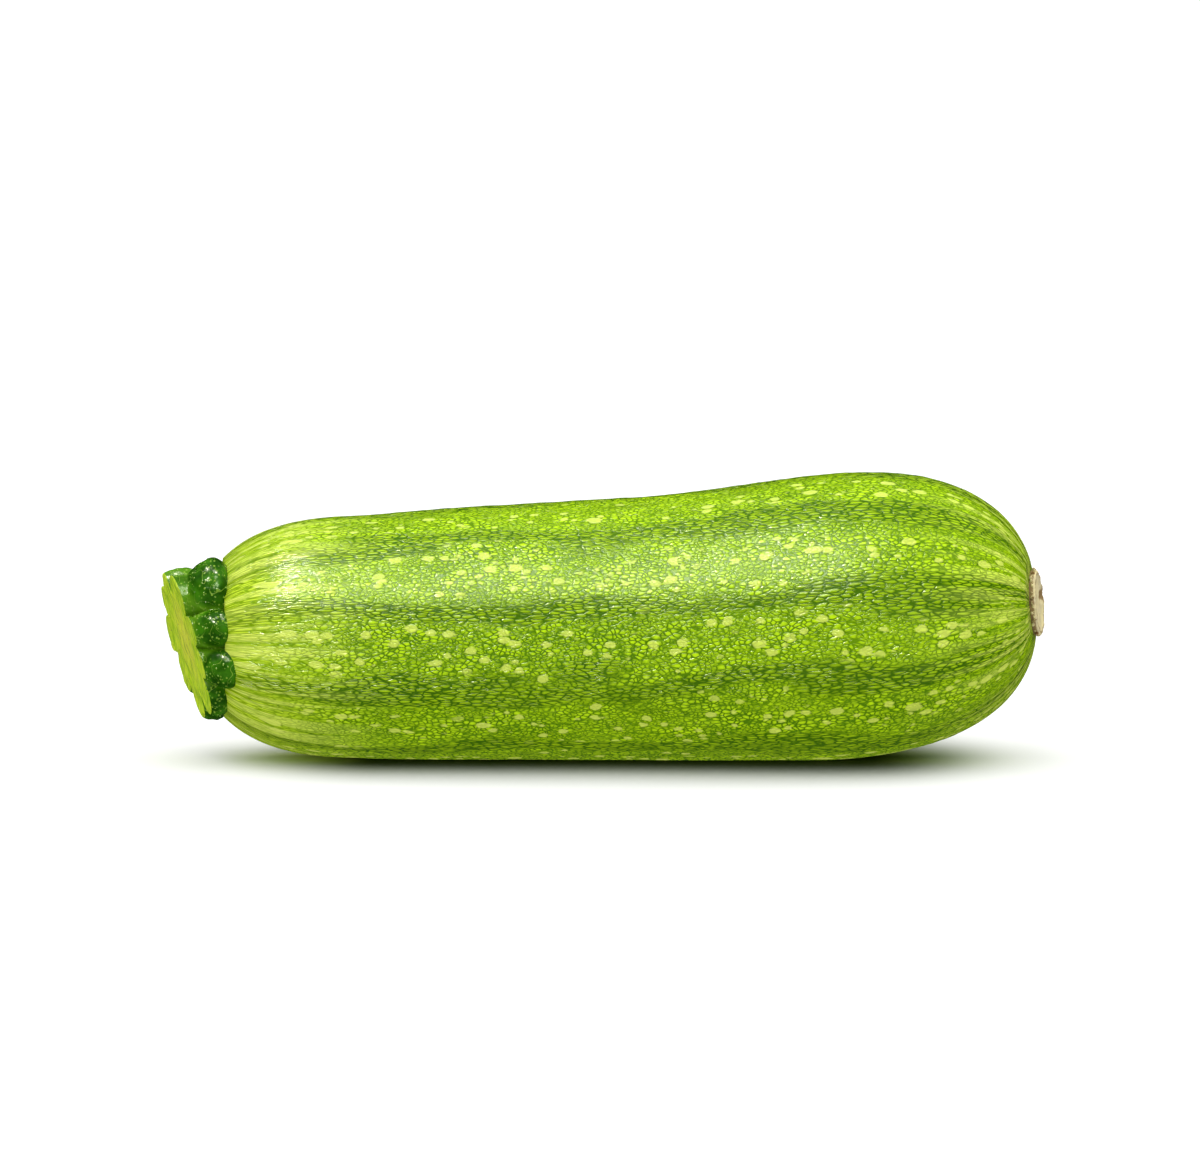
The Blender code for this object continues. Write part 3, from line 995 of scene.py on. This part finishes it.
class COURGETTE_OT_scar(bpy.types.Operator):
    """Build the flower's scar and the crumbs along its edge"""

    bl_idname = "courgette.scar"
    bl_label = "Flower scar"

    def execute(self, context):
        looks = context.scene.courgette_scar
        points, rows, segments, numbers = scar_surface(looks)
        scar = wrapped_mesh("scar_disc", points, rows, segments, scar_material(looks), numbers)
        values = {"Crumb Radius": looks.crumb_radius, "Spread": looks.crumb_spread}
        tree = crust_tree(crust_material(looks))
        crust = mesh_from_tree("scar_crust", tree, values, crust_path(looks.crumbs))
        settle(scar, "blossom_scar")
        settle(crust, None)
        return {"FINISHED"}


def aim(item, target):
    """Turn a light or a camera to face a place."""
    direction = Vector(target) - item.location
    item.rotation_euler = direction.to_track_quat("-Z", "Y").to_euler()


def add_card(name, card, energy):
    """A card that shows as a highlight only; the even light comes from the world."""
    place, target, size = card
    light = bpy.data.lights.new(name, "AREA")
    light.shape = "RECTANGLE"
    light.size, light.size_y = size
    light.energy = energy
    light.color = CARD_COLOUR
    lamp = bpy.data.objects.new(name, light)
    lamp.location = place
    lamp.visible_diffuse = False
    lamp.visible_camera = False
    aim(lamp, target)
    bpy.context.scene.collection.objects.link(lamp)


def floor_material(looks):
    """A white floor with a painted shadow: it darkens close under the fruit and brightens again
    past its ends.
    """
    material, board = new_material("studio_floor")
    where = board.node("ShaderNodeTexCoord").outputs["Object"]
    tone = board.noise(where, 3.0, 2.0)
    side, _, _ = board.parts(where)
    beside = board.math("ABSOLUTE", side - PAINTED_SHADOW_MIDDLE).between(PAINTED_SHADOW_END, PAINTED_SHADOW_FULL)
    open_feeds = {"Distance": PAINTED_SHADOW_REACH}
    openness = board.number("ShaderNodeAmbientOcclusion", {"samples": 8}, open_feeds, output="AO")
    white = board.mix(tone * 0.05, looks.floor, FLOOR_GREY)
    # Painted shadow: the floor's colour darkens where ambient occlusion finds the fruit close
    # above, near its middle only
    painted_shadow = (1.0 - openness.between(0.02, 0.9)) * beside
    colour = board.mix(painted_shadow, white, FLOOR_PAINTED_SHADOW)
    finish_material(board, colour, 0.9, {"Specular IOR Level": 0.0})
    return material


def set_world(looks):
    """A bright cloth overhead, dimmer walls, and the light that a white table sends back up."""
    world = bpy.data.worlds.new("studio")
    world.use_nodes = True
    world.node_tree.nodes.clear()
    board = Board(world.node_tree)
    _, depth, rise = board.parts(board.node("ShaderNodeTexCoord").outputs["Generated"])
    cloth = rise.between(0.3, 0.6) * (looks.overhead - looks.walls)
    below = looks.table_glow * (1.0 + depth.between(0.0, -0.8) * looks.front_glow)
    above = rise.between(-0.02, 0.02)
    level = cloth + above * looks.walls + (1.0 - above) * below
    path = board.node("ShaderNodeLightPath")
    glossy = Number(board, path.outputs["Is Glossy Ray"])
    seen = Number(board, path.outputs["Is Camera Ray"])
    level = level * (1.0 - glossy * (1.0 - looks.mirrored))
    level = level * (1.0 - seen) + seen * 1.1
    back = board.node("ShaderNodeBackground", feeds={0: (1.0, 1.0, 1.0, 1.0), 1: level})
    board.node("ShaderNodeOutputWorld", feeds={0: back.outputs[0]})
    bpy.context.scene.world = world


class COURGETTE_OT_stage(bpy.types.Operator):
    """Set the floor, the lights and the camera"""

    bl_idname = "courgette.stage"
    bl_label = "Stage"

    def execute(self, context):
        looks = context.scene.courgette_stage
        half = FLOOR_HALF_WIDTH
        mesh = bpy.data.meshes.new("floor")
        corners = [(-half, -half, 0.0), (half, -half, 0.0), (half, half, 0.0), (-half, half, 0.0)]
        mesh.from_pydata(corners, [], [(0, 1, 2, 3)])
        mesh.materials.append(floor_material(looks))
        floor = bpy.data.objects.new("floor", mesh)
        context.scene.collection.objects.link(floor)

        # The world's lower half stands in for the light that the floor would send up
        floor.visible_diffuse = False
        floor.visible_glossy = False
        floor.visible_shadow = False
        set_world(looks)
        add_card("broad_card", BROAD_CARD, looks.broad_card)
        add_card("left_card", LEFT_CARD, looks.left_card)

        camera = bpy.data.cameras.new("camera")
        camera.sensor_width = SENSOR_WIDTH
        camera.lens = SENSOR_WIDTH * looks.view_distance / looks.view_width
        eye = bpy.data.objects.new("camera", camera)
        level = math.cos(looks.view_height) * looks.view_distance
        rise = math.sin(looks.view_height) * looks.view_distance
        eye.location = (looks.aim_side, -level, looks.aim_height + rise)
        aim(eye, (looks.aim_side, 0.0, looks.aim_height))
        context.scene.collection.objects.link(eye)
        context.scene.camera = eye
        context.scene.view_settings.view_transform = "Standard"
        return {"FINISHED"}


class COURGETTE_PT_panel(bpy.types.Panel):
    """Lists what can be built"""

    bl_idname = "COURGETTE_PT_panel"
    bl_label = "Courgette"
    bl_space_type = "VIEW_3D"
    bl_region_type = "UI"
    bl_category = "Courgette"

    def draw(self, context):
        for operator in OPERATORS:
            self.layout.operator(operator.bl_idname)


SETTINGS = {
    "courgette_fruit": FruitLooks,
    "courgette_stem": StemLooks,
    "courgette_scar": ScarLooks,
    "courgette_stage": StageLooks,
}
OPERATORS = (COURGETTE_OT_fruit, COURGETTE_OT_stem, COURGETTE_OT_scar, COURGETTE_OT_stage)


def register():
    for group in (*SETTINGS.values(), *OPERATORS, COURGETTE_PT_panel):
        bpy.utils.register_class(group)
    for name, group in SETTINGS.items():
        setattr(bpy.types.Scene, name, PointerProperty(type=group))


def unregister():
    for name in SETTINGS:
        delattr(bpy.types.Scene, name)
    for group in reversed((*SETTINGS.values(), *OPERATORS, COURGETTE_PT_panel)):
        bpy.utils.unregister_class(group)


def main():
    register()
    bpy.ops.courgette.fruit()
    bpy.ops.courgette.stem()
    bpy.ops.courgette.scar()
    bpy.ops.courgette.stage()


if __name__ == "__main__":
    main()
